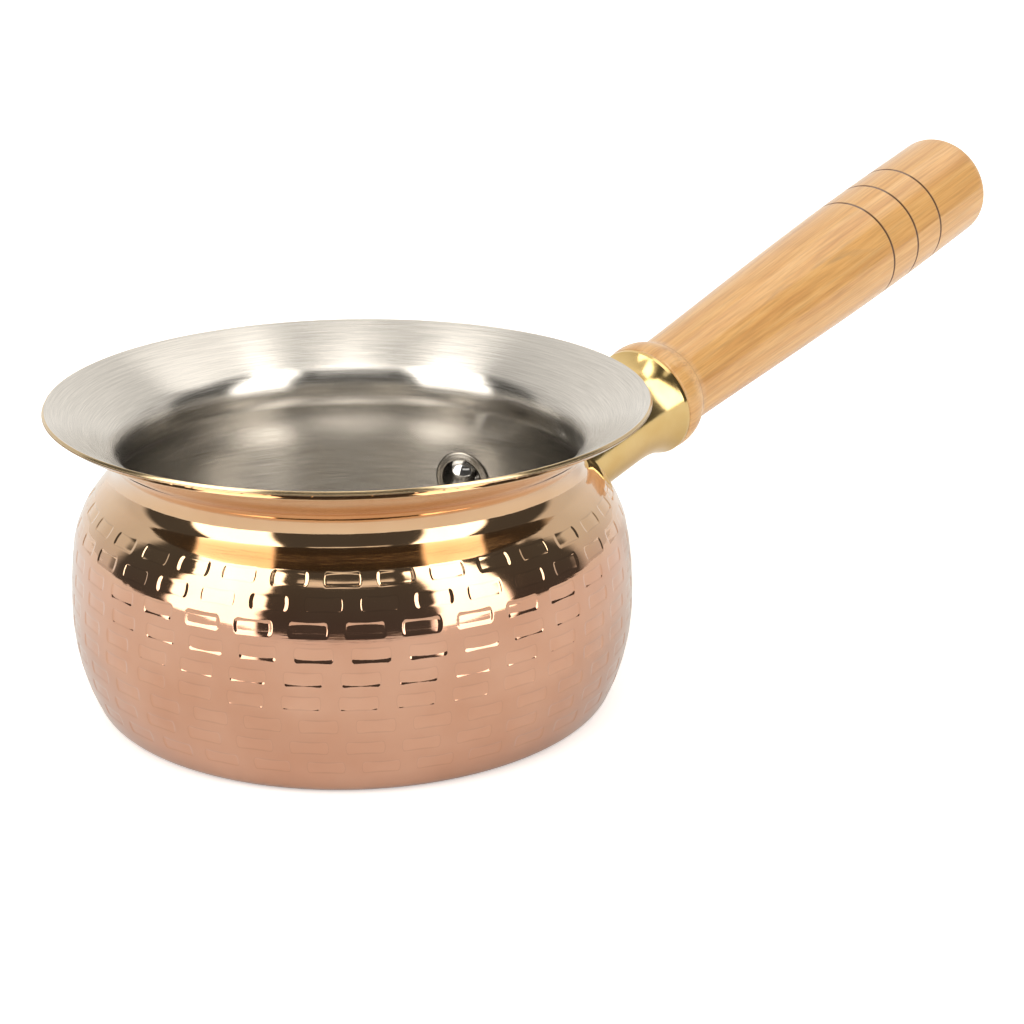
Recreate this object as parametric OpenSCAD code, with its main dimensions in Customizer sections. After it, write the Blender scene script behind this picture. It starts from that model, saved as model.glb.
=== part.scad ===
// Small round-bellied coffee pot: a steel-lined copper pot with a flared rim,
// a cast brass bracket riveted to its wall and a turned wood handle.
// Millimetres. The origin is the centre of the base, +Z is up, the handle points to +X.

/* [Pot] */
// Radius of the rim, measured on the steel side
rim_r = 60; // [58:0.5:62]
// Largest radius of the belly
belly_r = 57.1; // [56:0.1:58]
// Height of the widest part of the belly above the base
belly_z = 19.5; // [18:0.5:21]
// Radius of the tight curve between base and belly
corner_r = 3; // [2.5:0.5:4]
// Radius of the belly's curve below its widest part
lower_curve_r = 43; // [40:1:46]
// Radius of the belly's curve above its widest part
upper_curve_r = 88; // [80:1:96]
// Height where the belly turns over into the shoulder
shoulder_z = 34; // [33:0.5:35]
// Radius of the shoulder
shoulder_r = 19; // [18:0.5:20]
// Angle that the shoulder has turned where the neck begins, in degrees
shoulder_turn = 52; // [50:1:54]
// Radius of the hollow curve of the neck
neck_curve_r = 5; // [4.5:0.5:6]
// Angle that the neck opens by before the rim's long flare, in degrees
neck_turn = 54.25; // [53:0.25:56]
// Radius of the rim's long flare
flare_curve_r = 90; // [80:5:110]
// Thickness of the copper outside
copper_t = 0.5; // [0.4:0.1:0.7]
// Thickness of the steel lining
steel_t = 0.7; // [0.5:0.1:0.9]

/* [Rivets] */
// Height of the rivets above the base
rivet_z = 27; // [26:0.5:28]
// Angle of each rivet from the handle, about the pot's axis, in degrees
rivet_angle = 17.6; // [17:0.2:19]
// Radius of the rivet's shank
shank_r = 2.4; // [2:0.1:2.6]
// Radius of the domed head inside the pot
head_r = 4.85; // [4.5:0.05:5.2]
// Height of the domed head inside the pot
head_h = 3; // [2.4:0.1:3.4]
// Radius of the set head on the bracket
set_head_r = 4; // [3.6:0.1:4.4]
// Height of the set head on the bracket
set_head_h = 1.7; // [1.2:0.1:2]
// Radius of the washer under the inner head
washer_r = 6.4; // [6:0.1:6.8]
// Thickness of the washer under the inner head
washer_t = 0.5; // [0.4:0.1:0.6]

/* [Bracket] */
// Height where the handle's axis crosses the pot's axis
handle_z = 15.2; // [14.5:0.1:16]
// Slope of the handle above the horizontal, in degrees
handle_tilt = 13; // [12:0.5:14]
// Thickness of the saddle plate
plate_t = 2.6; // [2.2:0.1:3]
// Radius of each rounded end of the saddle plate
plate_end_r = 8.5; // [7.5:0.5:9]
// Radius of the saddle plate's middle
plate_mid_r = 12.5; // [12:0.5:13.5]
// Radius of the bracket's tube
tube_r = 10.6; // [10.2:0.1:11]
// Radius of the tube where it meets the saddle plate
root_r = 12; // [11.5:0.5:12.5]
// Radius of the flange that carries the wood
flange_r = 13.2; // [13:0.1:13.5]
// Thickness of the flange's edge
flange_t = 1.1; // [0.8:0.1:1.4]
// Distance of the flange's face from the pot's axis, along the handle
flange_s = 101.4; // [100:0.2:103]
// Radius of the hollow inside the tube
hollow_r = 7.4; // [7:0.1:7.6]
// Thickness of the solid end behind the flange
web_t = 11; // [10:0.5:12]

/* [Handle] */
// Length of the wood along its axis
wood_len = 143.7; // [138:0.1:150]
// Radius of the grip at its thickest
grip_r = 14; // [13.8:0.1:14.5]
// Radius of the waist behind the collar
waist_r = 11; // [10.8:0.1:11.4]
// Radius of the collar bead against the flange
collar_r = 13.4; // [13.2:0.1:13.8]
// Length of the collar bead
collar_len = 8.4; // [8:0.1:10]
// Length of the swelling from waist to grip
swell_len = 110; // [104:1:114]
// Length of the domed end
dome_len = 6.5; // [5:0.5:9]
// Distance of the first burnt groove from the flange
groove_from = 91.4; // [90:0.1:94]
// Spacing of the burnt grooves
groove_pitch = 11.7; // [11:0.1:12]
// Number of burnt grooves
groove_count = 3; // [1:1:3]
// Width of a burnt groove
groove_w = 0.7; // [0.5:0.1:1]
// Depth of a burnt groove
groove_d = 0.4; // [0.3:0.05:0.6]

/* [Handle screw] */
// Outer radius of the screw's shank and thread
screw_r = 3; // [2.9:0.05:3.1]
// Root radius of the screw's thread
screw_root_r = 2.3; // [2.2:0.05:2.4]
// Pitch of the screw's thread
screw_pitch = 2.6; // [2.4:0.1:2.8]
// Number of turns of thread
screw_turns = 13; // [10:1:14]
// Width of the hexagon head across its flats
hex_w = 10; // [9.5:0.5:10.5]
// Height of the hexagon head
hex_h = 4; // [3.6:0.1:4.4]
// Outer radius of the spring washer under the head
spring_washer_r = 5.6; // [5.4:0.1:6]
// Thickness of the spring washer
spring_washer_t = 1.5; // [1.3:0.1:1.7]

/* [Hidden] */
$fn = 96;
wall_t = copper_t + steel_t;
clear = 0.1; // running gap around shanks
far = 200; // longer than any cut needs to be

copper_colour = "#D9936B";
steel_colour = "#C9C7C2";
polished_colour = "#DADBDC";
brass_colour = "#DDB85E";
wood_colour = "#D9A05C";
zinc_colour = "#B9BDC2";

// Centres of the arcs that make the outside of the pot, each tangent to the next
function polar(r, a) = [r * cos(a), r * sin(a)];
low_c = [belly_r - lower_curve_r, belly_z];
corner_a = asin((corner_r - belly_z) / (lower_curve_r - corner_r));
corner_c = low_c + polar(lower_curve_r - corner_r, corner_a);
high_c = [belly_r - upper_curve_r, belly_z];
high_a = asin((shoulder_z - belly_z) / upper_curve_r);
shoulder_c = high_c + polar(upper_curve_r - shoulder_r, high_a);
neck_c = shoulder_c + polar(shoulder_r + neck_curve_r, shoulder_turn);
neck_end_a = 180 - neck_turn;
flare_c = neck_c + polar(neck_curve_r - flare_curve_r, neck_end_a);
rim_a = acos((rim_r - flare_c[0]) / (flare_curve_r + wall_t));
rim_z = flare_c[1] + (flare_curve_r + wall_t) * sin(rim_a);

// n points after the start of an arc of radius r about c, from angle a0 to a1
function arc(c, r, a0, a1, n) = [for (i = [1:n]) c + polar(r, a0 + (a1 - a0) * i / n)];

// The pot's wall at depth t under its outside, from the middle of the base to the rim
function wall(t) = concat(
    [[0, t], [corner_c[0], t]],
    arc(corner_c, corner_r - t, -90, corner_a, 5),
    arc(low_c, lower_curve_r - t, corner_a, 0, 8),
    arc(high_c, upper_curve_r - t, 0, high_a, 5),
    arc(shoulder_c, shoulder_r - t, high_a, shoulder_turn, 8),
    arc(neck_c, neck_curve_r + t, 180 + shoulder_turn, neck_end_a, 16),
    arc(flare_c, flare_curve_r + t, neck_end_a, rim_a, 4)
);
function reversed(points) = [for (i = [len(points) - 1:-1:0]) points[i]];

// A layer of the wall between two depths
module layer(from_t, to_t) {
    rotate_extrude() polygon(concat(wall(from_t), reversed(wall(to_t))));
}

// Where the rivets stand: local +Z leaves the pot square to its wall
rivet_slope = asin((rivet_z - belly_z) / upper_curve_r);
rivet_foot_r = high_c[0] + upper_curve_r * cos(rivet_slope);
washer_seat = wall_t + washer_r * washer_r / (2 * (rivet_foot_r - wall_t)) + 0.03;
head_seat = washer_seat + washer_t;

module at_rivet(side) {
    rotate([0, 0, side * rivet_angle])
        translate([rivet_foot_r, 0, rivet_z])
            rotate([0, 90 - rivet_slope, 0])
                children();
}

module rivet_holes() {
    for (side = [-1, 1])
        at_rivet(side)
            cylinder(r = shank_r + clear, h = 4 * (wall_t + plate_t), center = true);
}

// Local +Z runs along the handle, from the pot's axis
module on_handle() {
    translate([0, 0, handle_z])
        rotate([0, 90 - handle_tilt, 0])
            children();
}

module copper_body() {
    color(copper_colour)
        difference() {
            layer(0, copper_t);
            rivet_holes();
        }
}

module steel_liner() {
    color(steel_colour)
        difference() {
            layer(copper_t, wall_t);
            rivet_holes();
        }
}

// Outline of a domed head of radius r and height h that rises from z towards +1 or -1
function dome(r, h, z, way, n) = let (ball = (r * r + h * h) / (2 * h), edge = asin(r / ball))
    [for (i = [0:n]) let (a = edge * (1 - i / n))
        [i == n ? 0 : ball * sin(a), z + way * (ball * cos(a) - ball + h)]];

module rivet(side) {
    color(polished_colour)
        at_rivet(side)
            rotate_extrude()
                polygon(concat(
                    reversed(dome(head_r, head_h, -head_seat, -1, 8)),
                    [[shank_r, -head_seat], [shank_r, plate_t]],
                    dome(set_head_r, set_head_h, plate_t, 1, 6)
                ));
}

module rivet_washer(side) {
    color(steel_colour)
        at_rivet(side)
            translate([0, 0, -head_seat])
                difference() {
                    cylinder(r = washer_r, h = washer_t);
                    translate([0, 0, -1]) cylinder(r = shank_r + clear, h = washer_t + 2);
                }
}

// Radius of the bracket's tube at distance s along the handle
root_s = 50; // start of the blank, inside the pot's wall
root_end_s = 72; // end of the thicker root
horn_s = 86; // start of the horn that opens to the flange
edge_s = flange_s - flange_t;
function tube_at(s) =
    s < root_end_s ? tube_r + (root_r - tube_r) * pow((root_end_s - s) / (root_end_s - belly_r), 2) :
    s < horn_s ? tube_r :
    tube_r + (flange_r - tube_r) * pow((s - horn_s) / (edge_s - horn_s), 3);

module tube_blank() {
    rotate_extrude()
        polygon(concat(
            [[0, root_s]],
            [for (s = [root_s:3:root_end_s]) [tube_at(s), s]],
            [for (i = [0:9]) let (s = horn_s + (edge_s - horn_s) * i / 9) [tube_at(s), s]],
            [[flange_r, flange_s], [0, flange_s]]
        ));
}

module saddle_blank() {
    intersection() {
        rotate_extrude() polygon(concat(wall(0), reversed(wall(-plate_t))));
        translate([belly_r / 2, 0, rivet_z])
            rotate([90, 0, 90])
                linear_extrude(belly_r) {
                    circle(r = plate_mid_r);
                    reach = rivet_foot_r * sin(rivet_angle);
                    square([2 * reach, 2 * plate_end_r], center = true);
                    for (side = [-1, 1])
                        translate([side * reach, 0]) circle(r = plate_end_r);
                }
    }
}

module brass_bracket() {
    color(brass_colour)
        difference() {
            union() {
                on_handle() tube_blank();
                saddle_blank();
            }
            rotate_extrude() polygon(concat(wall(0), [[0, rim_z]]));
            on_handle() {
                cylinder(r = hollow_r, h = flange_s - web_t);
                cylinder(r = screw_r + clear, h = far);
            }
            rivet_holes();
        }
}

// The screw's thread as rings, with a point at its end
head_face_s = flange_s - web_t - spring_washer_t;
thread_start = 33; // plain shank under the head
module screw_shank() {
    thread_end = thread_start + screw_turns * screw_pitch;
    rotate_extrude()
        polygon(concat(
            [[0, 0], [screw_r, 0], [screw_r, thread_start - screw_pitch / 2]],
            [for (i = [0:screw_turns - 1]) for (half = [0, 1])
                [half == 0 ? screw_root_r : screw_r, thread_start + (i + half / 2) * screw_pitch]],
            [[screw_root_r, thread_end], [0, thread_end + 2 * screw_root_r]]
        ));
}

module handle_screw() {
    color(zinc_colour)
        on_handle()
            translate([0, 0, head_face_s]) {
                screw_shank();
                translate([0, 0, -hex_h]) cylinder(d = hex_w / cos(30), h = hex_h, $fn = 6);
            }
}

module spring_washer() {
    split_w = 1.2;
    color(zinc_colour)
        on_handle()
            translate([0, 0, head_face_s])
                difference() {
                    cylinder(r = spring_washer_r, h = spring_washer_t);
                    translate([0, 0, -1]) cylinder(r = screw_r + clear, h = spring_washer_t + 2);
                    translate([0, -split_w / 2, -1]) cube([far, split_w, spring_washer_t + 2]);
                }
}

// Radius of the wood's swelling at distance s from the flange, behind the collar bead
bead_round_r = 6; // rounding of the bead across the wood
bead_c = [collar_r - bead_round_r, collar_len * 0.27];
bead_end_a = acos((waist_r - bead_c[0]) / bead_round_r);
bead_half_len = (collar_len - bead_c[1]) / sin(bead_end_a);
bead_start_a = -asin(bead_c[1] / bead_half_len);
function wood_at(s) = let (part = min(1, (s - collar_len) / swell_len))
    waist_r + (grip_r - waist_r) * pow(sin(90 * part), 1.2);

module wood_blank() {
    rotate_extrude()
        polygon(concat(
            [[0, 0]],
            [for (i = [0:8]) let (a = bead_start_a + (bead_end_a - bead_start_a) * i / 8)
                bead_c + [bead_round_r * cos(a), bead_half_len * sin(a)]],
            [for (i = [1:12]) let (s = collar_len + swell_len * i / 12) [wood_at(s), s]],
            [for (i = [0:9]) [grip_r * cos(10 * i), wood_len - dome_len * (1 - sin(10 * i))]]
        ));
}

module wood_handle() {
    bore_depth = thread_start - web_t - spring_washer_t + (screw_turns + 3) * screw_pitch;
    color(wood_colour)
        on_handle()
            translate([0, 0, flange_s])
                difference() {
                    wood_blank();
                    translate([0, 0, -1]) cylinder(r = screw_r + clear / 2, h = bore_depth + 1);
                    for (i = [0:groove_count - 1]) {
                        s = groove_from + i * groove_pitch;
                        r = wood_at(s);
                        rotate_extrude()
                            polygon([[r - groove_d, s], [r + 1, s + groove_w], [r + 1, s - groove_w]]);
                    }
                }
}

copper_body();
steel_liner();
rivet(1);  // rivet_left
rivet(-1);  // rivet_right
rivet_washer(1);  // rivet_washer_left
rivet_washer(-1);  // rivet_washer_right
brass_bracket();
handle_screw();
spring_washer();
wood_handle();
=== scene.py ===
import math

import bmesh
import bpy
from mathutils import Matrix, Vector


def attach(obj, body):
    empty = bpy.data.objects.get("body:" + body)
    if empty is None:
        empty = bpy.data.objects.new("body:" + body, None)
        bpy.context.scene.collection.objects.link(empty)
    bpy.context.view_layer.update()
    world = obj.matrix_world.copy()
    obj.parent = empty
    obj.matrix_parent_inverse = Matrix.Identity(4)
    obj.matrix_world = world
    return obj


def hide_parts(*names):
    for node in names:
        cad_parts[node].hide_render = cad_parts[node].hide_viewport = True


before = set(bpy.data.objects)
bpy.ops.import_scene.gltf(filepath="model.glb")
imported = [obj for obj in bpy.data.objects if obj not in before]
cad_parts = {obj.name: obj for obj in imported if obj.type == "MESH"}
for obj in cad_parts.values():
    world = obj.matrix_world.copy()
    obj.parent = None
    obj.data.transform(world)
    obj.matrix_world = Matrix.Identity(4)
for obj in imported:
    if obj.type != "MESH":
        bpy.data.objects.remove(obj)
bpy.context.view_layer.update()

mm = 0.001
weldGap = 0.0002 * mm  # points closer than this become one


def colour(code):  # sRGB hex, to the linear colour a shader wants
    parts = [int(code[i:i + 2], 16) / 255 for i in (1, 3, 5)]
    return (*[v / 12.92 if v <= 0.04045 else ((v + 0.055) / 1.055) ** 2.4 for v in parts], 1.0)


def add(tree, kind, inputs=None, **settings):  # a node with its settings, values and links
    made = tree.nodes.new(kind)
    for name, value in settings.items():
        setattr(made, name, value)
    for key, value in (inputs or {}).items():
        if isinstance(value, bpy.types.NodeSocket):
            tree.links.new(value, made.inputs[key])
        else:
            made.inputs[key].default_value = value
    return made


def calc(tree, operation, *values, **settings):  # one sum, as the socket that holds its answer
    made = add(tree, "ShaderNodeMath", dict(enumerate(values)), operation=operation, **settings)
    return made.outputs[0]


def polar(r, degrees):
    return Vector((r * math.cos(math.radians(degrees)), r * math.sin(math.radians(degrees))))


pot = {  # its outside is a chain of arcs, each tangent to the next: millimetres and degrees
    "rimR": 60, "bellyR": 57.1, "bellyZ": 19.5, "cornerR": 3, "lowerCurveR": 43, "upperCurveR": 88,
    "shoulderZ": 34, "shoulderR": 19, "shoulderTurn": 52, "neckCurveR": 5, "neckTurn": 54.25,
    "flareCurveR": 90, "copperT": 0.5, "steelT": 0.7, "featherLength": 2.6, "featherDepth": 0.36,
    "featherGap": 0.3, "copperRimRound": 0.05, "steelRimRound": 0.15,
}
wallT = pot["copperT"] + pot["steelT"]


def potArcs():  # centre, radius, start and end angle, and +1 where the outside is away from the centre
    lowC = Vector((pot["bellyR"] - pot["lowerCurveR"], pot["bellyZ"]))
    cornerGap = pot["lowerCurveR"] - pot["cornerR"]
    cornerA = math.degrees(math.asin((pot["cornerR"] - pot["bellyZ"]) / cornerGap))
    cornerC = lowC + polar(cornerGap, cornerA)
    highC = Vector((pot["bellyR"] - pot["upperCurveR"], pot["bellyZ"]))
    highA = math.degrees(math.asin((pot["shoulderZ"] - pot["bellyZ"]) / pot["upperCurveR"]))
    shoulderC = highC + polar(pot["upperCurveR"] - pot["shoulderR"], highA)
    neckC = shoulderC + polar(pot["shoulderR"] + pot["neckCurveR"], pot["shoulderTurn"])
    neckEndA = 180 - pot["neckTurn"]
    flareC = neckC + polar(pot["neckCurveR"] - pot["flareCurveR"], neckEndA)
    rimA = math.degrees(math.acos((pot["rimR"] - flareC.x) / (pot["flareCurveR"] + wallT)))
    return [
        (cornerC, pot["cornerR"], -90, cornerA, 1),
        (lowC, pot["lowerCurveR"], cornerA, 0, 1),
        (highC, pot["upperCurveR"], 0, highA, 1),
        (shoulderC, pot["shoulderR"], highA, pot["shoulderTurn"], 1),
        (neckC, pot["neckCurveR"], 180 + pot["shoulderTurn"], neckEndA, -1),
        (flareC, pot["flareCurveR"], neckEndA, rimA, -1),
    ]


arcs = potArcs()
arcLengths = [r * math.radians(abs(end - start)) for _, r, start, end, _ in arcs]
baseR = arcs[0][0].x
wallLength = sum(arcLengths)


def onWall(s):  # point and outward normal at distance s up the outside, which is below 0 on the flat base
    if s <= 0:
        return Vector((baseR + s, 0)), Vector((0, -1))
    for (centre, r, start, end, side), length in zip(arcs, arcLengths):
        if s <= length + 1e-6:
            angle = start + (end - start) * s / length
            return centre + polar(r, angle), polar(side, angle)
        s -= length
    return onWall(wallLength)


def spread(start, end, count):  # count steps from start to end, without the start
    return [start + (end - start) * i / count for i in range(1, count + 1)]


def wallSteps(counts):  # distances up the wall, with a number of steps for the base and for each arc
    steps, s = [-baseR, *spread(-baseR, 0, counts[0])], 0
    for length, count in zip(arcLengths, counts[1:]):
        steps += spread(s, s + length, count)
        s += length
    return steps


def skin(steps, depth):  # rings of a surface at that depth under the outside
    rings = []
    for s in steps:
        point, normal = onWall(s)
        rings.append({"at": point - normal * depth, "out": normal, "along": s})
    rings[0]["at"].x = 0
    return rings


def rimEdge(outer, inner, rounding, steps=3):  # the cut edge between two depths, with both corners rounded
    point, normal = onWall(wallLength)
    outward = Vector((normal.y, -normal.x)) * -1
    rings = []
    for depth, turn in ((outer + rounding, 0), (inner - rounding, 90)):
        centre = point - outward * rounding - normal * depth
        for i in range(steps + 1):
            angle = math.radians(turn + 90 * i / steps)
            way = normal * math.cos(angle) + outward * math.sin(angle)
            rings.append({"at": centre + way * rounding, "out": way, "along": wallLength, "mark": 1})
    rings[0]["mark"] = rings[-1]["mark"] = 0
    return rings


def outlineMesh(name, rings):  # the rings as a chain of points, each with its numbers as attributes
    mesh = bpy.data.meshes.new(name)
    points = [(ring["at"].x * mm, 0, ring["at"].y * mm) for ring in rings]
    mesh.from_pydata(points, [(i, i + 1) for i in range(len(points) - 1)], [])
    for key in sorted(set().union(*rings) - {"at", "out"}):
        values = [float(ring.get(key, 0)) for ring in rings]
        mesh.attributes.new(key, "FLOAT", "POINT").data.foreach_set("value", values)
    if "out" in rings[0]:
        flat = [v for ring in rings for v in (ring["out"].x, 0, ring["out"].y)]
        mesh.attributes.new("outward", "FLOAT_VECTOR", "POINT").data.foreach_set("vector", flat)
    return mesh


def newTree(name, sizes):  # sizes: input name -> (socket kind, default)
    tree = bpy.data.node_groups.new(name, "GeometryNodeTree")
    tree.is_modifier = True
    tree.interface.new_socket("Geometry", in_out="OUTPUT", socket_type="NodeSocketGeometry")
    tree.interface.new_socket("Outline", in_out="INPUT", socket_type="NodeSocketGeometry")
    for label, (kind, value) in sizes.items():
        socket = tree.interface.new_socket(label, in_out="INPUT", socket_type="NodeSocket" + kind)
        if value is not None:
            socket.default_value = value
    return tree, add(tree, "NodeGroupInput").outputs, add(tree, "NodeGroupOutput")


def named(tree, name, kind="FLOAT"):  # the value of the outline's attribute
    return add(tree, "GeometryNodeInputNamedAttribute", {"Name": name}, data_type=kind).outputs[0]


def sampled(tree, outline, value, index, kind="FLOAT"):  # that value at a point of the outline
    return add(tree, "GeometryNodeSampleIndex", {"Geometry": outline, "Value": value, "Index": index},
               data_type=kind, domain="POINT").outputs[0]


def columnsAndRings(tree, outline, columns):  # a flat grid, and the column and ring of each of its points
    count = add(tree, "GeometryNodeAttributeDomainSize", {"Geometry": outline}, component="MESH")
    grid = add(tree, "GeometryNodeMeshGrid",
               {"Vertices X": calc(tree, "ADD", columns, 1), "Vertices Y": count.outputs["Point Count"]})
    index = add(tree, "GeometryNodeInputIndex").outputs[0]
    half = calc(tree, "ADD", index, 0.5)
    column = calc(tree, "FLOOR", calc(tree, "DIVIDE", half, count.outputs["Point Count"]))
    ring = calc(tree, "FLOORED_MODULO", index, count.outputs["Point Count"])
    return grid.outputs["Mesh"], column, ring


def closeShell(tree, shell, keep, material, output):  # weld seam and poles, keep the named values, dress
    for name, value in keep.items():
        shell = add(tree, "GeometryNodeStoreNamedAttribute",
                    {"Geometry": shell, "Name": name, "Value": value},
                    data_type="FLOAT", domain="POINT").outputs[0]
    welded = add(tree, "GeometryNodeMergeByDistance", {"Geometry": shell, "Distance": weldGap})
    smooth = add(tree, "GeometryNodeSetShadeSmooth", {"Geometry": welded.outputs[0], "Shade Smooth": True})
    real = add(tree, "GeometryNodeRealizeInstances", {"Geometry": smooth.outputs[0]})
    dressed = add(tree, "GeometryNodeSetMaterial", {"Geometry": real.outputs[0], "Material": material})
    tree.links.new(dressed.outputs[0], output.inputs[0])


def latheTree():  # turns an outline about Z, as on a lathe
    tree, given, output = newTree("lathe", {"Columns": ("Int", 96), "Material": ("Material", None)})
    outline = given["Outline"]
    grid, column, ring = columnsAndRings(tree, outline, given["Columns"])
    point = sampled(tree, outline, add(tree, "GeometryNodeInputPosition").outputs[0], ring, "FLOAT_VECTOR")
    angle = calc(tree, "MULTIPLY", calc(tree, "DIVIDE", column, given["Columns"]), math.tau)
    turned = add(tree, "ShaderNodeVectorRotate", {"Vector": point, "Angle": angle}, rotation_type="Z_AXIS")
    shell = add(tree, "GeometryNodeSetPosition", {"Geometry": grid, "Position": turned.outputs[0]})
    keep = {name: sampled(tree, outline, named(tree, name), ring) for name in ("along", "mark")}
    closeShell(tree, shell.outputs[0], keep, given["Material"], output)
    return tree


def run(tree, mesh, name, values):  # the tree on that mesh with those inputs, as a plain mesh object
    holder = bpy.data.objects.new(name, mesh)
    bpy.context.scene.collection.objects.link(holder)
    modifier = holder.modifiers.new("build", "NODES")
    modifier.node_group = tree
    for item in tree.interface.items_tree:
        if item.in_out == "INPUT" and item.name in values:
            modifier[item.identifier] = values[item.name]
    ready = holder.evaluated_get(bpy.context.evaluated_depsgraph_get())
    result = bpy.data.meshes.new_from_object(ready)
    holder.modifiers.remove(modifier)
    holder.data = result
    result.name = name
    bpy.data.meshes.remove(mesh)
    return holder


def place(piece, matrix):  # puts the place into the mesh, so that the object stays at the origin
    piece.data.transform(matrix)
    piece.data.update()
    return piece


def hand(piece, node):  # the piece stands for its CAD node
    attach(piece, "root")
    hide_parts(node)
    return piece


fineness = {  # steps up the wall, for the base and each arc; then round the turned pieces, and along them
    "hiddenWall": (3, 2, 4, 3, 4, 5, 4), "copperWall": (6, 5, 12, 6, 10, 14, 12), "featheredRim": 8,
    "linerWall": (5, 5, 14, 8, 14, 22, 16), "brick": 14, "liner": 224, "rivet": 64, "wood": 128, "horn": 160,
    "bead": 18, "grip": 70, "woodEnd": 20, "dome": 16, "tube": 8, "hornCurve": 28,
}


bricks = {  # stamped into the belly: millimetres, and shares of the distance from one brick to the next
    "perRow": 34, "rows": 9, "topS": 45.7, "rowPitch": 4.66, "height": 2.9, "lengthShare": 0.71,
    "depth": 0.12, "clear": 1.2, "looseAbove": 6, "bevel": 0.45, "bevelShare": 0.036, "edgeShare": 0.03,
    "edge": 0.3, "middlePress": 0.45, "endRound": 0.03, "wave": 0.035, "waveSize": 7,
    "frontAngle": -135.4,  # where on the wall the rows' shifts are counted from
    "shifts": (-0.22, 0.44, 0.17, 0.26, 0.07, 0.02, 0.31, 0.12, 0.4),
}
columnsPerBrick = fineness["brick"]


def stampedRings():  # the copper's outside: fine rings across each row of bricks, plain ones elsewhere
    half, edge, bevel = bricks["height"] / 2, bricks["edge"], bricks["bevel"]
    across = [(0, 1), (half - bevel - edge, 1), (half - bevel, 1), (half - bevel / 2, 0.5), (half, 0),
              (half + edge, 0)]
    across = [(-offset, press) for offset, press in across[:0:-1]] + across
    rows = []
    for row in range(bricks["rows"]):
        middle = bricks["topS"] - row * bricks["rowPitch"]
        shift = bricks["shifts"][row]
        for offset, press in across:
            rows.append({"s": middle + offset, "press": press, "shift": shift, "fit": 1,
                         "endRound": bricks["endRound"] * min(1, abs(offset) / half) ** 2})
        rows.append({"s": middle - bricks["rowPitch"] / 2, "shift": shift, "fit": 0.5})
    rows.sort(key=lambda ring: ring["s"])
    low, high = rows[0]["s"] - bricks["clear"], rows[-1]["s"] + bricks["clear"]
    thinFrom = wallLength - pot["featherLength"]
    steps = [s for s in wallSteps(fineness["copperWall"]) if s < thinFrom - pot["featherGap"]]
    steps += [thinFrom, *spread(thinFrom, wallLength, fineness["featheredRim"])]
    plain = [{"s": s} for s in steps if s < low or s > high]
    rings = []
    for ring in sorted(plain + rows, key=lambda ring: ring["s"]):
        point, normal = onWall(ring["s"])
        thinned = max(0, (ring["s"] - thinFrom) / pot["featherLength"])  # the sheet thins out to the rim
        point -= normal * pot["featherDepth"] * thinned ** 2
        rings.append({**ring, "at": point, "out": normal, "along": ring["s"]})
    rings[0]["at"].x = 0
    for ring in rings:
        ring.pop("s")
    return rings


def copperRings():
    inside = skin(wallSteps(fineness["hiddenWall"]), pot["copperT"])
    rim = rimEdge(pot["featherDepth"], pot["copperT"], pot["copperRimRound"])
    return stampedRings()[:-1] + rim + inside[-2::-1]


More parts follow.
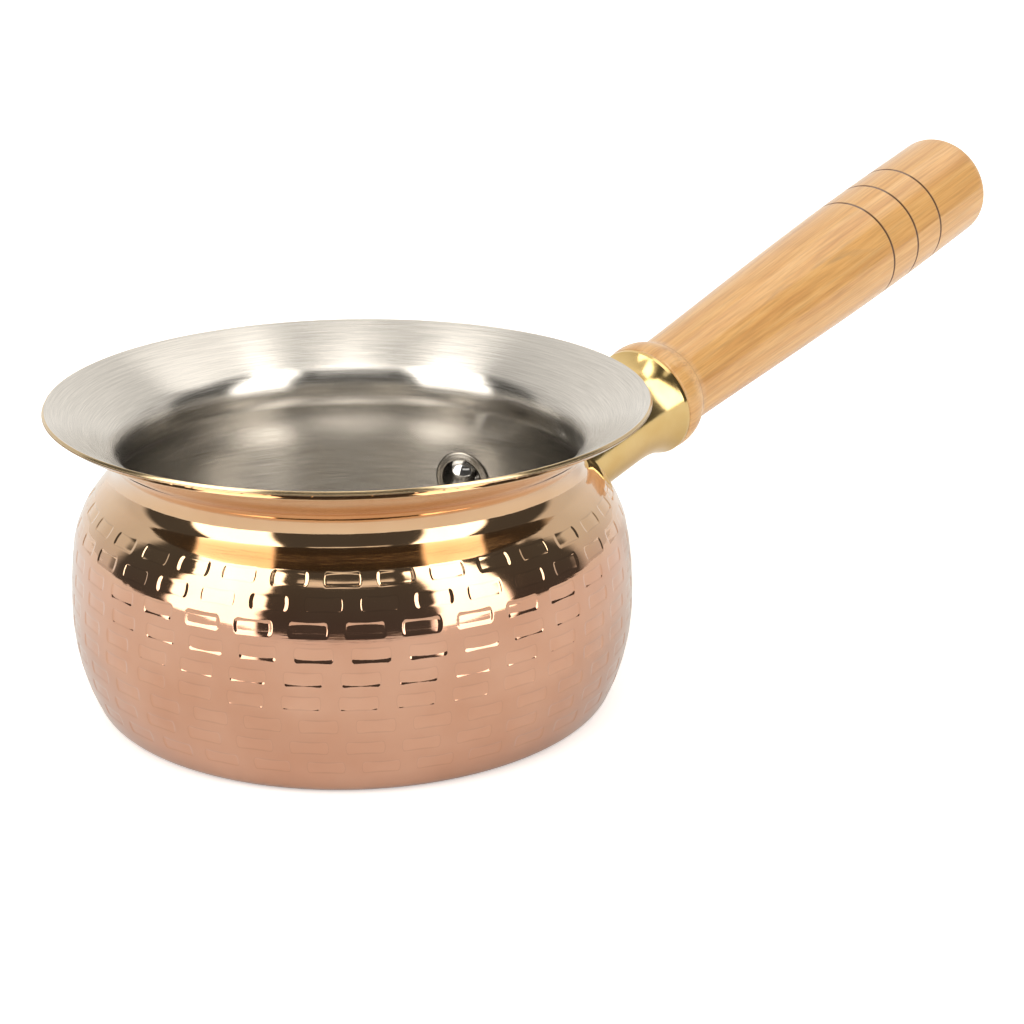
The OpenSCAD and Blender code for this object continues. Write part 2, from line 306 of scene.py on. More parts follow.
def stampTree():  # turns the outline about Z with its points lined up on bricks, and presses the bricks in
    sizes = {
        "Bricks per Row": ("Int", 34), "Front Angle": ("Float", 0.0), "Length Share": ("Float", 0.7),
        "Bevel Share": ("Float", 0.05), "Edge Share": ("Float", 0.03), "Middle Press": ("Float", 0.6),
        "Depth": ("Float", 0.2 * mm), "Wave": ("Float", 0.02 * mm), "Wave Size": ("Float", 9 * mm),
        "Seed": ("Float", 3.0), "Material": ("Material", None),
    }
    tree, given, output = newTree("stampedShell", sizes)
    outline = given["Outline"]
    columns = calc(tree, "MULTIPLY", given["Bricks per Row"], columnsPerBrick)
    grid, column, ring = columnsAndRings(tree, outline, columns)
    shift = sampled(tree, outline, named(tree, "shift"), ring)
    fit = sampled(tree, outline, named(tree, "fit"), ring)
    press = sampled(tree, outline, named(tree, "press"), ring)
    endRound = sampled(tree, outline, named(tree, "endRound"), ring)
    # which column of its own brick each point is, once the row has been slid along by its shift
    slid = calc(tree, "ROUND", calc(tree, "MULTIPLY", shift, columnsPerBrick))
    inRow = calc(tree, "SUBTRACT", column, slid)
    brick = calc(tree, "FLOOR", calc(tree, "DIVIDE", calc(tree, "ADD", inRow, 0.5), columnsPerBrick))
    own = calc(tree, "SUBTRACT", inRow, calc(tree, "MULTIPLY", brick, columnsPerBrick))
    past = calc(tree, "GREATER_THAN", own, columnsPerBrick / 2 + 0.5)  # 1 where it nears the next brick
    back = calc(tree, "SUBTRACT", columnsPerBrick, own)
    step = add(tree, "GeometryNodeSwitch", {"Switch": past, "False": own, "True": back}, input_type="FLOAT")
    end = calc(tree, "MULTIPLY", given["Length Share"], 0.5)
    inner = calc(tree, "SUBTRACT", end, given["Bevel Share"])
    places = [0.0, calc(tree, "MULTIPLY", end, 0.5), calc(tree, "SUBTRACT", inner, given["Edge Share"]),
              inner, calc(tree, "SUBTRACT", end, calc(tree, "MULTIPLY", given["Bevel Share"], 0.5)), end,
              calc(tree, "ADD", end, given["Edge Share"]), 0.5]
    presses = [given["Middle Press"], calc(tree, "MULTIPLY_ADD", given["Middle Press"], 0.75, 0.25), 1.0, 1.0,
               0.5, 0.0, 0.0, 0.0]
    rounds = [0.0, 0.5, 1.0, 1.0, 1.0, 1.0, 1.0, 0.0]
    picked = []
    for values in (places, presses, rounds):
        choice = add(tree, "GeometryNodeIndexSwitch", {"Index": step.outputs[0]}, data_type="FLOAT")
        while len(choice.index_switch_items) < len(values):
            choice.index_switch_items.new()
        for i, value in enumerate(values):
            if isinstance(value, bpy.types.NodeSocket):
                tree.links.new(value, choice.inputs[i + 1])
            else:
                choice.inputs[i + 1].default_value = value
        picked.append(choice.outputs[0])
    offset = calc(tree, "SUBTRACT", picked[0], calc(tree, "MULTIPLY", picked[2], endRound))
    mirrored = calc(tree, "SUBTRACT", 1, offset)
    inPitch = add(tree, "GeometryNodeSwitch", {"Switch": past, "False": offset, "True": mirrored},
                  input_type="FLOAT")
    lined = calc(tree, "ADD", calc(tree, "ADD", brick, inPitch.outputs[0]), shift)
    even = calc(tree, "DIVIDE", column, columnsPerBrick)
    turn = add(tree, "ShaderNodeMix", {"Factor": fit, "A": even, "B": lined}, data_type="FLOAT").outputs[0]
    pitch = calc(tree, "DIVIDE", math.tau, given["Bricks per Row"])
    angle = calc(tree, "MULTIPLY_ADD", turn, pitch, given["Front Angle"])
    # a slow wave in the sheet, then the press along the outline's own normal
    position = add(tree, "GeometryNodeInputPosition").outputs[0]
    point = sampled(tree, outline, position, ring, "FLOAT_VECTOR")
    outward = sampled(tree, outline, named(tree, "outward", "FLOAT_VECTOR"), ring, "FLOAT_VECTOR")
    spun = add(tree, "ShaderNodeVectorRotate", {"Vector": point, "Angle": angle}, rotation_type="Z_AXIS")
    spunOut = add(tree, "ShaderNodeVectorRotate", {"Vector": outward, "Angle": angle}, rotation_type="Z_AXIS")
    scale = calc(tree, "DIVIDE", 1, given["Wave Size"])
    noise = add(tree, "ShaderNodeTexNoise",
                {"Vector": spun.outputs[0], "Scale": scale, "W": given["Seed"], "Detail": 1.0},
                noise_dimensions="4D")
    wavy = calc(tree, "MULTIPLY", calc(tree, "SUBTRACT", noise.outputs[0], 0.5), given["Wave"])
    wavy = calc(tree, "MULTIPLY", wavy, sampled(tree, outline, named(tree, "loose"), ring))
    deep = calc(tree, "MULTIPLY", calc(tree, "MULTIPLY", press, picked[1]), given["Depth"])
    lift = calc(tree, "SUBTRACT", wavy, deep)
    moved = add(tree, "ShaderNodeVectorMath", {0: spunOut.outputs[0], "Scale": lift}, operation="SCALE")
    shell = add(tree, "GeometryNodeSetPosition",
                {"Geometry": grid, "Position": spun.outputs[0], "Offset": moved.outputs[0]})
    keep = {"along": sampled(tree, outline, named(tree, "along"), ring),
            "pressed": calc(tree, "MULTIPLY", press, picked[1])}
    closeShell(tree, shell.outputs[0], keep, given["Material"], output)
    return tree


def newMaterial(name, settings):  # a Principled surface with its uniform numbers set on its own sockets
    made = bpy.data.materials.new(name)
    made.use_nodes = True
    made.node_tree.nodes.clear()
    shader = add(made.node_tree, "ShaderNodeBsdfPrincipled", settings)
    output = add(made.node_tree, "ShaderNodeOutputMaterial", {"Surface": shader.outputs[0]})
    return made, made.node_tree, shader


def noiseOn(tree, vector, size, detail=2.0, **more):  # noise whose blobs are about that size in millimetres
    return add(tree, "ShaderNodeTexNoise",
               {"Vector": vector, "Scale": 1 / (size * mm), "Detail": detail, **more})


def ramp(tree, value, *stops):  # colours, or greys, along a value
    made = add(tree, "ShaderNodeValToRGB", {"Fac": value})
    elements = made.color_ramp.elements
    while len(elements) < len(stops):
        elements.new(0.5)
    for element, (at, tone) in zip(elements, stops):
        element.position = at
        element.color = colour(tone) if isinstance(tone, str) else (tone, tone, tone, 1)
    return made.outputs[0]


def aroundPot(tree, roundSize, alongSize):  # coordinates that follow the wall: slow round it, fast up it
    spot = add(tree, "ShaderNodeTexCoord").outputs["Object"]
    flat = add(tree, "ShaderNodeVectorMath", {0: spot, 1: (1, 1, 0)}, operation="MULTIPLY")
    unit = add(tree, "ShaderNodeVectorMath", {0: flat.outputs[0]}, operation="NORMALIZE")
    scaled = add(tree, "ShaderNodeVectorMath", {0: unit.outputs[0], "Scale": pot["bellyR"] / roundSize},
                 operation="SCALE")
    along = add(tree, "ShaderNodeAttribute", attribute_name="along").outputs["Fac"]
    lifted = add(tree, "ShaderNodeCombineXYZ", {"Z": calc(tree, "DIVIDE", along, alongSize)})
    return add(tree, "ShaderNodeVectorMath", {0: scaled.outputs[0], 1: lifted.outputs[0]}).outputs[0]


sheen = {  # millimetres up the wall where the painted golden sheen starts and is full, and where the painted shade on the flare blends in; and the sizes of brushed lines
    "sheenPaintFrom": 35, "sheenPaintFull": 47, "flareShadeBlend": 2, "buffing": (7, 0.4), "brushing": (10, 0.16),
}


def polishedCopper():  # sheet buffed to a mirror: rosy belly, a painted golden sheen on the shoulder, painted shade on the flare, fine lines
    made, tree, shader = newMaterial(
        "polishedCopper", {"Metallic": 1.0, "Coat Weight": 1.0, "Coat Roughness": 0.03})
    spot = add(tree, "ShaderNodeTexCoord").outputs["Object"]
    tint = noiseOn(tree, spot, 14, 3.0)
    rosy = ramp(tree, tint.outputs[0], (0.3, "#D59F80"), (0.7, "#DFAD90"))
    # painted sheen: the shoulder's copper is tinted golden to warm its reflections
    paintedGoldSheen = ramp(tree, tint.outputs[0], (0.3, "#E2B68A"), (0.7, "#E9C298"))
    along = add(tree, "ShaderNodeAttribute", attribute_name="along").outputs["Fac"]
    low, top = sheen["sheenPaintFrom"], sheen["sheenPaintFull"]
    high = add(tree, "ShaderNodeMapRange", {"Value": along, 1: low, 2: top}, interpolation_type="SMOOTHSTEP")
    # painted shade: the flare's copper is darker and greyer, which dims what its underside reflects
    paintedFlareShade = ramp(tree, tint.outputs[0], (0.3, "#BFA27D"), (0.7, "#C9AC86"))
    flareFrom, blend = wallLength - arcLengths[-1], sheen["flareShadeBlend"]
    flareShadeMask = add(tree, "ShaderNodeMapRange", {"Value": along, 1: flareFrom - blend, 2: flareFrom + blend},
                  interpolation_type="SMOOTHSTEP")
    upper = add(tree, "ShaderNodeMix", {0: flareShadeMask.outputs[0], 6: paintedGoldSheen, 7: paintedFlareShade}, data_type="RGBA")
    sheet = add(tree, "ShaderNodeMix", {0: high.outputs[0], 6: rosy, 7: upper.outputs[2]}, data_type="RGBA")
    pressed = add(tree, "ShaderNodeAttribute", attribute_name="pressed").outputs["Fac"]
    # painted shade: darker copper where the sheet slopes into each brick, a touch darker on the flat between
    # bricks
    paintedBevelShade = ramp(tree, pressed, (0.0, 0.97), (0.12, 0.86), (0.34, 0.9), (0.45, 1.0))
    toned = add(tree, "ShaderNodeMix", {0: 1.0, 6: sheet.outputs[2], 7: paintedBevelShade}, data_type="RGBA",
                blend_type="MULTIPLY")
    tree.links.new(toned.outputs[2], shader.inputs["Base Color"])
    lines = add(tree, "ShaderNodeTexNoise",
                {"Vector": aroundPot(tree, *sheen["buffing"]), "Scale": 1.0, "Detail": 4.0})
    smear = noiseOn(tree, spot, 6, 3.0)
    rough = calc(tree, "MULTIPLY_ADD", smear.outputs[0], 0.07, 0.03)
    tree.links.new(rough, shader.inputs["Roughness"])
    bump = add(tree, "ShaderNodeBump",
               {"Height": lines.outputs[0], "Strength": 0.3, "Distance": 0.02 * mm})
    tree.links.new(bump.outputs[0], shader.inputs["Normal"])
    return made


def brushedSteel(name, low, high):  # stainless sheet brushed round the pot: satin, with long fine lines
    made, tree, shader = newMaterial(
        name, {"Metallic": 1.0, "Anisotropic": 0.95, "Anisotropic Rotation": 0.25})
    lines = add(tree, "ShaderNodeTexNoise",
                {"Vector": aroundPot(tree, *sheen["brushing"]), "Scale": 1.0, "Detail": 5.0})
    satin = ramp(tree, lines.outputs[0], (0.3, low), (0.7, high))
    cut = add(tree, "ShaderNodeAttribute", attribute_name="mark").outputs["Fac"]  # painted reflection: the rim's cut edge is tinted warm beige, like the copper it reflects
    sheet = add(tree, "ShaderNodeMix", {0: cut, 6: satin, 7: colour("#DCC49C")}, data_type="RGBA")
    tree.links.new(sheet.outputs[2], shader.inputs["Base Color"])
    rough = calc(tree, "MULTIPLY_ADD", lines.outputs[0], 0.14, 0.16)
    tree.links.new(rough, shader.inputs["Roughness"])
    bump = add(tree, "ShaderNodeBump", {"Height": lines.outputs[0], "Strength": 0.35, "Distance": 0.05 * mm})
    tree.links.new(bump.outputs[0], shader.inputs["Normal"])
    tangent = add(tree, "ShaderNodeTangent", direction_type="RADIAL", axis="Z")
    tree.links.new(tangent.outputs[0], shader.inputs["Tangent"])
    return made


def polishedSteel():  # a rivet's polished head: clear mirror with a few hair marks
    made, tree, shader = newMaterial("polishedSteel", {"Metallic": 1.0})
    spot = add(tree, "ShaderNodeTexCoord").outputs["Object"]
    marks = noiseOn(tree, spot, 1.5, 4.0)
    tint = ramp(tree, marks.outputs[0], (0.3, "#C8C7C5"), (0.7, "#DCDBD9"))
    tree.links.new(tint, shader.inputs["Base Color"])
    tree.links.new(calc(tree, "MULTIPLY_ADD", marks.outputs[0], 0.08, 0.05), shader.inputs["Roughness"])
    return made


def castBrass():  # yellow brass, cast, then polished: a soft mirror with a trace of the casting's skin
    made, tree, shader = newMaterial("castBrass", {"Metallic": 1.0})
    spot = add(tree, "ShaderNodeTexCoord").outputs["Object"]
    patch = noiseOn(tree, spot, 8, 3.0)
    tint = ramp(tree, patch.outputs[0], (0.3, "#E2BF7C"), (0.7, "#EBCE93"))
    tree.links.new(tint, shader.inputs["Base Color"])
    tree.links.new(calc(tree, "MULTIPLY_ADD", patch.outputs[0], 0.12, 0.08), shader.inputs["Roughness"])
    grain = noiseOn(tree, spot, 1.2, 3.0)
    bump = add(tree, "ShaderNodeBump", {"Height": grain.outputs[0], "Strength": 0.15, "Distance": 0.05 * mm})
    tree.links.new(bump.outputs[0], shader.inputs["Normal"])
    return made


def zincPlated():  # zinc-plated steel: dull blue-grey spangle
    made, tree, shader = newMaterial("zincPlatedSteel", {"Metallic": 1.0})
    spot = add(tree, "ShaderNodeTexCoord").outputs["Object"]
    spangle = noiseOn(tree, spot, 0.8, 3.0)
    tint = ramp(tree, spangle.outputs[0], (0.3, "#A9AEB4"), (0.7, "#C3C7CB"))
    tree.links.new(tint, shader.inputs["Base Color"])
    tree.links.new(calc(tree, "MULTIPLY_ADD", spangle.outputs[0], 0.2, 0.25), shader.inputs["Roughness"])
    return made


def varnishedWood():  # turned hardwood: straight grain, grey streaks, burnt grooves, a gloss varnish over it
    made, tree, shader = newMaterial(
        "varnishedWood", {"Roughness": 0.5, "Coat Weight": 0.8, "Coat Roughness": 0.1})
    spot = add(tree, "ShaderNodeTexCoord").outputs["Object"]
    turned = add(tree, "ShaderNodeMapping",
                 {"Vector": spot, "Rotation": (0, math.radians(handle["tilt"]), 0)})
    long = add(tree, "ShaderNodeMapping", {"Vector": turned.outputs[0], "Scale": (0.03, 1, 1)})
    rings = noiseOn(tree, long.outputs[0], 1.7, 4.0, Distortion=0.2)
    fibre = noiseOn(tree, long.outputs[0], 0.4, 4.0)
    tone = ramp(tree, rings.outputs[0], (0.25, "#BC8648"), (0.5, "#CD9A58"), (0.75, "#D6A86A"))
    fine = ramp(tree, fibre.outputs[0], (0.3, 0.8), (0.6, 1.0))
    grained = add(tree, "ShaderNodeMix", {0: 1.0, 6: tone, 7: fine}, data_type="RGBA", blend_type="MULTIPLY")
    longer = add(tree, "ShaderNodeMapping", {"Vector": turned.outputs[0], "Scale": (0.06, 0.5, 0.5)})
    streaks = noiseOn(tree, longer.outputs[0], 3.0, 5.0, Distortion=0.8)
    grey = add(tree, "ShaderNodeMapRange",
               {"Value": streaks.outputs[0], 1: 0.6, 2: 0.72, 3: 0, 4: 0.45}).outputs[0]
    mixed = add(tree, "ShaderNodeMix", {0: grey, 6: grained.outputs[2], 7: colour("#94795A")},
                data_type="RGBA")
    mark = add(tree, "ShaderNodeAttribute", attribute_name="mark").outputs["Fac"]
    burnt = add(tree, "ShaderNodeMix", {0: mark, 6: mixed.outputs[2], 7: colour("#5B391D")}, data_type="RGBA")
    tree.links.new(burnt.outputs[2], shader.inputs["Base Color"])
    bump = add(tree, "ShaderNodeBump", {"Height": fibre.outputs[0], "Strength": 0.2, "Distance": 0.05 * mm})
    tree.links.new(bump.outputs[0], shader.inputs["Normal"])
    return made


handle = {"z": 15.2, "tilt": 13, "flangeS": 101.4}  # height on the pot's axis, rise, the flange's face
handlePlace = Matrix.Translation((0, 0, handle["z"] * mm)) @ Matrix.Rotation(
    math.radians(90 - handle["tilt"]), 4, "Y")


wood = {  # millimetres, along the handle from the flange's face
    "length": 143.7, "gripR": 14, "waistR": 11, "collarR": 13.4, "collarLen": 8.4, "swellLen": 110,
    "swell": 1.2, "domeLen": 6.5, "beadRoundR": 6, "beadAtShare": 0.27,
    "grooveFrom": 91.4, "groovePitch": 11.7, "grooves": 3, "grooveW": 0.3, "grooveD": 0.4,
    "grooveClear": 2.2,
}


def woodAt(s):
    part = min(1, max(0, (s - wood["collarLen"]) / wood["swellLen"]))
    return wood["waistR"] + (wood["gripR"] - wood["waistR"]) * math.sin(math.pi / 2 * part) ** wood["swell"]


def woodRings():
    beadC = Vector((wood["collarR"] - wood["beadRoundR"], wood["collarLen"] * wood["beadAtShare"]))
    endA = math.degrees(math.acos((wood["waistR"] - beadC.x) / wood["beadRoundR"]))
    halfLen = (wood["collarLen"] - beadC.y) / math.sin(math.radians(endA))
    startA = -math.degrees(math.asin(beadC.y / halfLen))
    rings = [{"at": Vector((0, 0))}, {"at": Vector((beadC.x, 0))}]
    for angle in [startA, *spread(startA, endA, fineness["bead"])]:
        turn = math.radians(angle)
        rings.append({"at": Vector((beadC.x + wood["beadRoundR"] * math.cos(turn),
                                    beadC.y + halfLen * math.sin(turn)))})
    domeStart = wood["length"] - wood["domeLen"]
    steps = spread(wood["collarLen"], domeStart, fineness["grip"])
    grooves = [wood["grooveFrom"] + i * wood["groovePitch"] for i in range(wood["grooves"])]
    across = ((-1.8, 0, 0), (-1.2, 0, 0.5), (-0.8, 0.1, 1), (-0.3, 0.9, 1), (0, 1, 1), (0.3, 0.9, 1),
              (0.8, 0.1, 1), (1.2, 0, 0.5), (1.8, 0, 0))
    clear = wood["grooveClear"] * wood["grooveW"]
    body = [(s, 0, 0) for s in steps if all(abs(s - groove) > clear for groove in grooves)]
    body += [(groove + share * wood["grooveW"], depth, mark)
             for groove in grooves for share, depth, mark in across]
    for s, depth, mark in sorted(body):
        rings.append({"at": Vector((woodAt(s) - depth * wood["grooveD"], s)), "mark": mark})
    for angle in spread(0, 90, fineness["woodEnd"]):
        point = polar(1, angle)
        rings.append({"at": Vector((wood["gripR"] * point.x, domeStart + wood["domeLen"] * point.y))})
    for ring in rings:
        ring["along"] = ring["at"].y
        ring.setdefault("mark", 0)
    return rings


rivet = {  # a rivet and its washer: millimetres and degrees
    "z": 27, "angle": 17.6, "shankR": 2.4, "headR": 4.85, "headH": 3, "setR": 4, "setH": 1.7,
    "washerR": 6.4, "washerT": 0.5, "plateT": 2.6,
    "washerRound": 0.12, "washerPlay": 0.1, "washerGap": 0.03,
}
rivetSlope = math.degrees(math.asin((rivet["z"] - pot["bellyZ"]) / pot["upperCurveR"]))
rivetFootR = pot["bellyR"] - pot["upperCurveR"] * (1 - math.cos(math.radians(rivetSlope)))
washerSeat = wallT + rivet["washerR"] ** 2 / (2 * (rivetFootR - wallT)) + rivet["washerGap"]
headSeat = washerSeat + rivet["washerT"]


def rivetPlace(side):
    return (Matrix.Rotation(math.radians(side * rivet["angle"]), 4, "Z")
            @ Matrix.Translation((rivetFootR * mm, 0, rivet["z"] * mm))
            @ Matrix.Rotation(math.radians(90 - rivetSlope), 4, "Y"))


def domeRings(radius, height, seat, way):  # from the axis over a ball-shaped head down to its rounded edge
    ball = (radius ** 2 + height ** 2) / (2 * height)
    edge = math.degrees(math.asin(radius / ball))
    rings = []
    for angle in [0, *spread(0, edge, fineness["dome"])]:
        point = polar(ball, 90 - angle)
        rings.append({"at": Vector((max(0, point.x), seat + way * (point.y - ball + height)))})
    return rings


def rivetRings():
    inner = domeRings(rivet["headR"], rivet["headH"], -headSeat, -1)
    outer = domeRings(rivet["setR"], rivet["setH"], rivet["plateT"], 1)
    shank = [{"at": Vector((rivet["shankR"], -headSeat))}, {"at": Vector((rivet["shankR"], rivet["plateT"]))}]
    return [{**ring, "along": 0} for ring in inner + shank + outer[::-1]]


def washerRings():
    r, t, rounding = rivet["washerR"], rivet["washerT"], rivet["washerRound"]
    head, hole = rivet["headR"], rivet["shankR"] + rivet["washerPlay"]
    flat = [head + (r - rounding - head) * i / 5 for i in range(6)]
    corners = [(hole, 0), *[(x, 0) for x in flat], (r, rounding), (r, t - rounding),
               *[(x, t) for x in flat[::-1]], (hole, t), (hole, 0)]
    return [{"at": Vector((x, z - headSeat)), "along": 0} for x, z in corners]


def hugWall(washer):  # bends the washer's free edge back against the round wall
    for vertex in washer.data.vertices:
        x, y, z = vertex.co / mm
        share = min(1, max(0, (math.hypot(x, y) - rivet["headR"]) / (rivet["washerR"] - rivet["headR"])))
        gap = washerSeat - wallT - y ** 2 / (2 * (rivetFootR - wallT))
        vertex.co.z += share * (3 - 2 * share) * share * gap * mm
    return washer


bracket = {  # millimetres, along the handle from the pot's axis
    "cutS": 75, "hornS": 86, "tubeR": 10.6, "flangeR": 13.2, "flangeT": 1.1, "hollowR": 7.4, "webT": 11,
    "hornPower": 3, "boreR": 3.05, "corner": 0.15, "sharpFrom": 25,
}


def bracketRings():  # tube, horn and flange, with the hollow and the screw's hole, as one closed loop
    face, corner, tubeR, flangeR = handle["flangeS"], bracket["corner"], bracket["tubeR"], bracket["flangeR"]
    edgeS, web = face - bracket["flangeT"], face - bracket["webT"]
    spots = [(bracket["hollowR"], bracket["cutS"]), (tubeR, bracket["cutS"])]
    spots += [(tubeR, s) for s in spread(bracket["cutS"], bracket["hornS"], fineness["tube"])]
    for share in spread(0, 1, fineness["hornCurve"]):
        along = bracket["hornS"] + (edgeS - bracket["hornS"]) * share
        spots.append((tubeR + (flangeR - tubeR) * share ** bracket["hornPower"], along))
    spots += [(flangeR, edgeS + corner), (flangeR, face - corner), (flangeR - corner, face),
              (bracket["boreR"], face), (bracket["boreR"], web), (bracket["hollowR"], web), spots[0]]
    return [{"at": Vector(spot), "along": 0} for spot in spots]


def bracketWith(horn, material):  # the CAD bracket's saddle end, cut square across the tube, and the horn
    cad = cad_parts["brass_bracket"]
    form = bmesh.new()
    form.from_mesh(cad.data)
    form.transform(cad.matrix_world)
    bmesh.ops.remove_doubles(form, verts=form.verts, dist=0.001 * mm)
    axis = handlePlace.to_3x3() @ Vector((0, 0, 1))
    cut = bmesh.ops.bisect_plane(
        form, geom=form.verts[:] + form.edges[:] + form.faces[:], dist=0.0001 * mm, clear_outer=True,
        plane_co=handlePlace @ Vector((0, 0, bracket["cutS"] * mm)), plane_no=axis)
    rim = [part for part in cut["geom_cut"] if isinstance(part, bmesh.types.BMEdge)]
    bmesh.ops.triangle_fill(form, edges=rim, normal=axis, use_beauty=True)
    form.from_mesh(horn.data)
    for face in form.faces:
        face.smooth, face.material_index = True, 0
    for edge in form.edges:
        if edge.calc_face_angle(0) > math.radians(bracket["sharpFrom"]):
            edge.smooth = False
    form.to_mesh(horn.data)
    horn.data.materials.clear()
    horn.data.materials.append(material)
    loose = sum(not edge.is_manifold for edge in form.edges)
    volume = form.calc_volume(signed=True) / mm ** 3
    print("bracket", len(form.faces), "faces", loose, "open edges", volume, "mm3")
    form.free()
    return horn


copper = polishedCopper()
steel = brushedSteel("brushedSteel", "#C9C5BF", "#E2DED8")
# painted shade: the washers' brushed steel is a darker copy of the liner's
paintedShadeWasherSteel = brushedSteel("brushedSteelPaintedShade", "#ACA69D", "#BFB9B0")
rivetSteel = polishedSteel()
brass = castBrass()
zinc = zincPlated()
timber = varnishedWood()

stamped = {
    "Bricks per Row": bricks["perRow"], "Front Angle": math.radians(bricks["frontAngle"]),
    "Length Share": bricks["lengthShare"], "Bevel Share": bricks["bevelShare"],
    "Edge Share": bricks["edgeShare"], "Middle Press": bricks["middlePress"], "Depth": bricks["depth"] * mm,
    "Wave": bricks["wave"] * mm, "Wave Size": bricks["waveSize"] * mm, "Seed": 3.0, "Material": copper,
}
copperOutline = copperRings()
outsideCount = len(stampedRings())
for i, ring in enumerate(copperOutline):
    ring["loose"] = 1 if i < outsideCount and ring["along"] < bricks["topS"] + bricks["looseAbove"] else 0
body = run(stampTree(), outlineMesh("copperOutline", copperOutline), "copperBody", stamped)
hand(body, "copper_body")
print("copper body", len(body.data.polygons), "faces")

lathe = latheTree()
linerInside = skin(wallSteps(fineness["linerWall"]), wallT)
linerOutside = skin(wallSteps(fineness["hiddenWall"]), pot["copperT"])
linerRim = rimEdge(pot["copperT"], wallT, pot["steelRimRound"])
linerOutline = outlineMesh("linerOutline", linerOutside[:-1] + linerRim + linerInside[-2::-1])
liner = run(lathe, linerOutline, "steelLiner", {"Columns": fineness["liner"], "Material": steel})
hand(liner, "steel_liner")
print("steel liner", len(liner.data.polygons), "faces")

for side, word in ((1, "left"), (-1, "right")):
    one = run(lathe, outlineMesh("rivetOutline", rivetRings()), "rivet" + word.title(),
              {"Columns": fineness["rivet"], "Material": rivetSteel})
    hand(place(one, rivetPlace(side)), "rivet_" + word)
    ringed = run(lathe, outlineMesh("washerOutline", washerRings()), "rivetWasher" + word.title(),
                 {"Columns": fineness["rivet"], "Material": paintedShadeWasherSteel})
    hand(place(hugWall(ringed), rivetPlace(side)), "rivet_washer_" + word)
print("rivets and washers")

grip = run(lathe, outlineMesh("woodOutline", woodRings()), "woodHandle",
           {"Columns": fineness["wood"], "Material": timber})
place(grip, handlePlace @ Matrix.Translation((0, 0, handle["flangeS"] * mm)))
hand(grip, "wood_handle")
print("wood handle", len(grip.data.polygons), "faces")

horn = run(lathe, outlineMesh("hornOutline", bracketRings()), "brassBracket",
           {"Columns": fineness["horn"], "Material": brass})
hand(bracketWith(place(horn, handlePlace), brass), "brass_bracket")

for node in ("handle_screw", "spring_washer"):
    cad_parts[node].data.materials.clear()
    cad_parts[node].data.materials.append(zinc)


studio = {  # the floor, and the table that only the metal mirrors: metres
    "toCamera": (-0.7118, -0.7024), "floorHalf": 4.0, "mirrorFront": 0.355, "mirrorHalf": 1.6,
    "floorGlow": 0.45, "floorTone": "#F4F4F4", "floorZ": -0.0001, "tableGlow": 0.1, "tableTone": "#CFCFCF",
    "tableZ": -0.00005,
}
view = {  # the camera: millimetres for its lens, metres for its place
    "lens": 75.59, "sensor": 36, "near": 0.01, "at": (-0.29436, -0.29052, 0.18316), "tilt": 70.47,
    "turn": -49.87,
}


def floorMaterial(name, glow, tone):
    made = bpy.data.materials.new(name)
    made.use_nodes = True
    tree = made.node_tree
    tree.nodes.clear()
    matt = add(tree, "ShaderNodeBsdfDiffuse", {"Color": colour(tone)})
    lit = add(tree, "ShaderNodeEmission", {"Color": (1, 1, 1, 1), "Strength": glow})
    both = add(tree, "ShaderNodeAddShader", {0: matt.outputs[0], 1: lit.outputs[0]})
    add(tree, "ShaderNodeOutputMaterial", {"Surface": both.outputs[0]})
    return made


def slab(name, corners, z, material):
    mesh = bpy.data.meshes.new(name)
    mesh.from_pydata([(x, y, z) for x, y in corners], [], [tuple(range(len(corners)))])
    mesh.materials.append(material)
    made = bpy.data.objects.new(name, mesh)
    bpy.context.scene.collection.objects.link(made)
    return made


toward = Vector(studio["toCamera"])
right = Vector((-toward.y, toward.x))
half = studio["floorHalf"]
bigFloor = slab("bigFloor", [(-half, -half), (half, -half), (half, half), (-half, half)], studio["floorZ"],
                floorMaterial("paleFloor", studio["floorGlow"], studio["floorTone"]))
bigFloor.visible_glossy = False
wide = studio["mirrorHalf"]
front = toward * studio["mirrorFront"]
mirrorCorners = [front - right * wide, front + right * wide,
                 toward * -wide + right * wide, toward * -wide - right * wide]
tableTop = slab("tableTop", [tuple(c) for c in mirrorCorners], studio["tableZ"],
                floorMaterial("tableTop", studio["tableGlow"], studio["tableTone"]))
tableTop.visible_camera = False
tableTop.visible_diffuse = False
tableTop.visible_shadow = False

panels = {  # what hangs round the pot, in degrees: azimuth from the camera (+ to its right) and elevation
    "leftBox": {"sides": (-79, -38), "topSides": (-115, -44), "bend": (38, 64), "rise": (-25, 71),
                "glow": 3.5},
    "rightBox": {"sides": (33, 64), "topSides": (45, 96), "bend": (56, 66), "rise": (-25, 70), "glow": 3.5},
    "topBox": {"sides": (-60, 55), "topSides": (-60, 55), "bend": (0, 1), "rise": (72, 95), "glow": 3.9},
    "handleBox": {"sides": (98, 150), "topSides": (98, 150), "bend": (0, 1), "rise": (44, 74), "glow": 1.7},
    "topStrip": {"sides": (-25, 20), "topSides": (-25, 20), "bend": (45, 52), "rise": (45, 52), "glow": 1.0},
}
darkRoom = {"sides": (-112, 105), "topSides": (-112, 105), "bend": (0, 1), "rise": (-89, 66), "glow": 0.08}
sky = {"glow": 0.7, "behind": (125, 160), "behindGlow": 0.3, "tone": "#FFFBF4"}  # pale beyond the dark room


def edge(tree, value, softness):  # 0 below the edge, 1 above it
    return add(tree, "ShaderNodeMapRange", {"Value": value, 1: -softness, 2: softness},
               interpolation_type="SMOOTHSTEP").outputs[0]


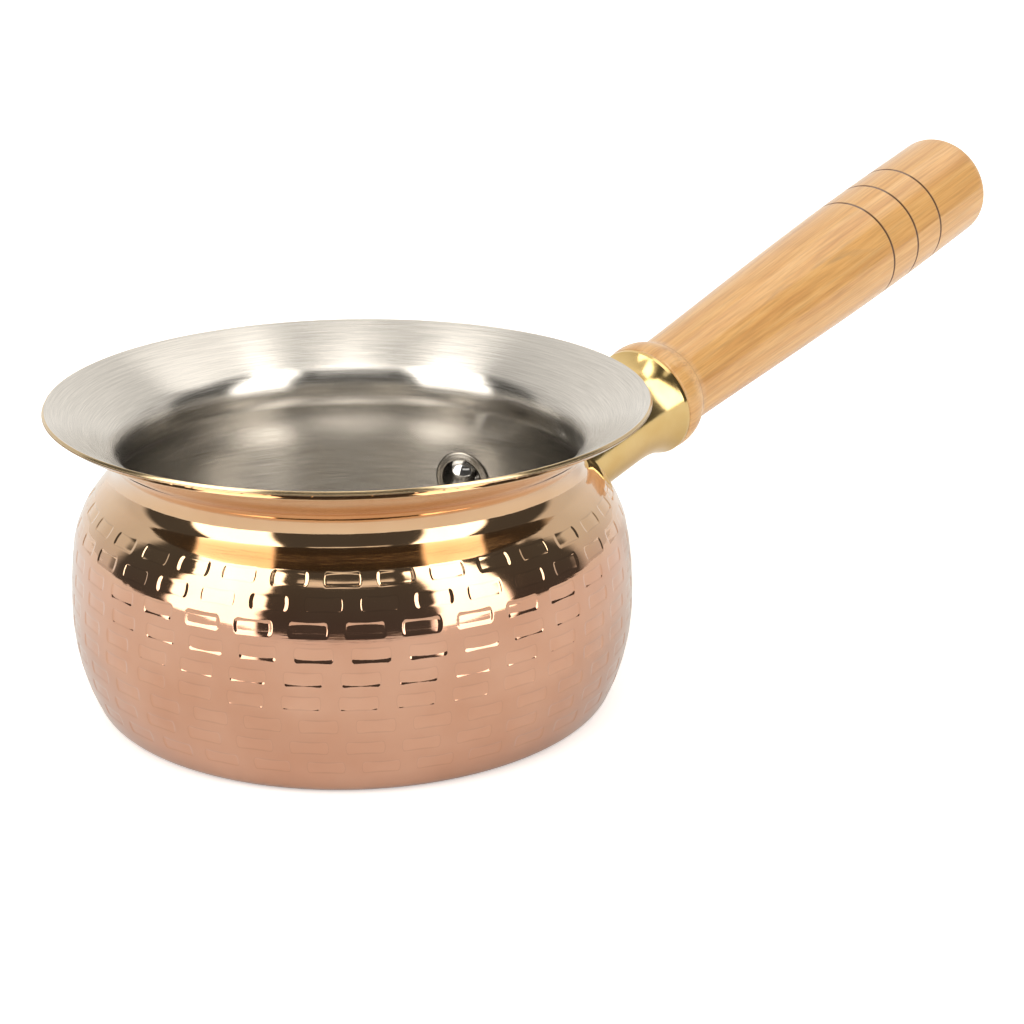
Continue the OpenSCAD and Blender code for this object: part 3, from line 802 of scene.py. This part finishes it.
def panel(tree, azimuth, elevation, shape, softness=2.0):
    sides = []
    for low, high in zip(shape["sides"], shape["topSides"]):
        side = add(tree, "ShaderNodeMapRange",
                   {"Value": elevation, 1: shape["bend"][0], 2: shape["bend"][1], 3: low, 4: high})
        sides.append(side.outputs[0])
    masks = [edge(tree, calc(tree, "SUBTRACT", azimuth, sides[0]), softness),
             edge(tree, calc(tree, "SUBTRACT", sides[1], azimuth), softness),
             edge(tree, calc(tree, "SUBTRACT", elevation, shape["rise"][0]), softness),
             edge(tree, calc(tree, "SUBTRACT", shape["rise"][1], elevation), softness)]
    mask = masks[0]
    for other in masks[1:]:
        mask = calc(tree, "MULTIPLY", mask, other)
    return mask


def makeWorld():
    world = bpy.data.worlds.new("studio")
    bpy.context.scene.world = world
    world.use_nodes = True
    tree = world.node_tree
    tree.nodes.clear()
    way = add(tree, "ShaderNodeTexCoord").outputs["Generated"]
    ahead = add(tree, "ShaderNodeVectorMath", {0: way, 1: (*toward, 0)}, operation="DOT_PRODUCT")
    aside = add(tree, "ShaderNodeVectorMath", {0: way, 1: (*right, 0)}, operation="DOT_PRODUCT")
    azimuth = calc(tree, "DEGREES", calc(tree, "ARCTAN2", aside.outputs["Value"], ahead.outputs["Value"]))
    height = add(tree, "ShaderNodeSeparateXYZ", {0: way}).outputs["Z"]
    elevation = calc(tree, "DEGREES", calc(tree, "ARCSINE", height))
    dark = panel(tree, azimuth, elevation, darkRoom, 4.0)
    away = {"Value": calc(tree, "ABSOLUTE", azimuth), 1: sky["behind"][0], 2: sky["behind"][1], 3: 0,
            4: sky["behindGlow"]}
    behind = add(tree, "ShaderNodeMapRange", away).outputs[0]
    pale = calc(tree, "ADD", behind, sky["glow"])
    glow = calc(tree, "MULTIPLY_ADD", calc(tree, "SUBTRACT", darkRoom["glow"], pale), dark, pale)
    for shape in panels.values():
        mask = panel(tree, azimuth, elevation, shape)
        glow = add(tree, "ShaderNodeMix", {"Factor": mask, "A": glow, "B": shape["glow"]},
                   data_type="FLOAT").outputs[0]
    lit = add(tree, "ShaderNodeBackground", {"Color": colour(sky["tone"]), "Strength": glow})
    white = add(tree, "ShaderNodeBackground", {"Color": (1, 1, 1, 1), "Strength": 1.0})
    seen = add(tree, "ShaderNodeLightPath").outputs["Is Camera Ray"]
    both = add(tree, "ShaderNodeMixShader", {0: seen, 1: lit.outputs[0], 2: white.outputs[0]})
    add(tree, "ShaderNodeOutputWorld", {"Surface": both.outputs[0]})


makeWorld()

lens = bpy.data.cameras.new("camera")
lens.lens = view["lens"]
lens.sensor_width = view["sensor"]
lens.clip_start = view["near"]
camera = bpy.data.objects.new("camera", lens)
camera.location = view["at"]
camera.rotation_euler = (math.radians(view["tilt"]), 0, math.radians(view["turn"]))
bpy.context.scene.collection.objects.link(camera)
bpy.context.scene.camera = camera
bpy.context.scene.view_settings.view_transform = "Standard"
print("studio and camera")
